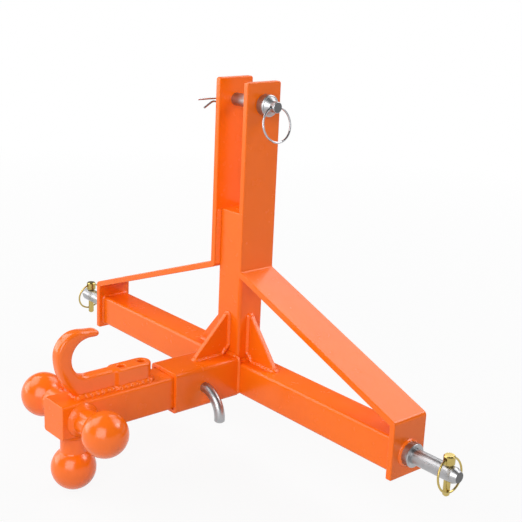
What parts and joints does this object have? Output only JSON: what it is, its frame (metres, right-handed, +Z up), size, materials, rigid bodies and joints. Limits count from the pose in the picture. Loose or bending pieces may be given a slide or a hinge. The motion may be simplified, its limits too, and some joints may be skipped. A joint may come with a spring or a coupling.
{
  "type": "three point receiver hitch",
  "caption": "Welded three point hitch frame with a receiver tube, lower link pins, a top link pin between two ears, and a ball mount with a tow hook.",
  "frame": {"origin": "midway between the two lower pins, on their common axis", "axes": "+X along the lower pins to the right, -Y towards the balls and the load, +Z up towards the top link pin"},
  "size_m": [0.9, 0.3635, 0.5702],
  "materials": {
    "orange_coat": "semi-gloss powder coat",
    "bright_steel": "bright zinc",
    "spring_wire": "drawn wire",
    "yellow_zinc": "yellow zinc"
  },
  "bodies": {
    "frame": {"crossbar_tube": "orange_coat", "upright_tube": "orange_coat", "upright_cap": "orange_coat", "receiver_tube": "orange_coat", "side_bar_left": "orange_coat", "side_bar_right": "orange_coat", "gusset_front": "orange_coat", "gusset_left": "orange_coat", "gusset_right": "orange_coat", "lower_pin_left": "bright_steel", "lower_pin_right": "bright_steel", "lynch_pin_left": "yellow_zinc", "lynch_pin_right": "yellow_zinc", "ball_mount_shank": "orange_coat", "ball_left": "orange_coat", "ball_right": "orange_coat", "ball_bottom": "orange_coat", "tow_hook": "orange_coat"},
    "top_pin": {"top_link_pin": "bright_steel", "top_pin_clip": "spring_wire"},
    "pull_ring": {"pull_ring": "bright_steel"},
    "hitch_pin": {"hitch_pin": "bright_steel", "hitch_pin_clip": "spring_wire"},
    "lynch_ring_left": {"lynch_ring_left": "yellow_zinc"},
    "lynch_ring_right": {"lynch_ring_right": "yellow_zinc"}
  },
  "joints": [
    {"name": "top_pin_spin", "type": "hinge", "parent": "frame", "child": "top_pin", "pos_m": [0, 0, 0.42225], "axis": [1, 0, 0], "continuous": true},
    {"name": "pull_ring_swing", "type": "hinge", "parent": "top_pin", "child": "pull_ring", "pos_m": [0.0612, 0, 0.42225], "axis": [0, -1, 0], "range_deg": [-32, 188]},
    {"name": "hitch_pin_spin", "type": "hinge", "parent": "frame", "child": "hitch_pin", "pos_m": [0, -0.09025, 0], "axis": [1, 0, 0], "continuous": true},
    {"name": "lynch_ring_right_swing", "type": "hinge", "parent": "frame", "child": "lynch_ring_right", "pos_m": [0.431, 0, 0.02], "axis": [0, -1, 0], "range_deg": [0, 170]},
    {"name": "lynch_ring_left_swing", "type": "hinge", "parent": "frame", "child": "lynch_ring_left", "pos_m": [-0.431, 0, 0.02], "axis": [0, 1, 0], "range_deg": [0, 170]}
  ]
}
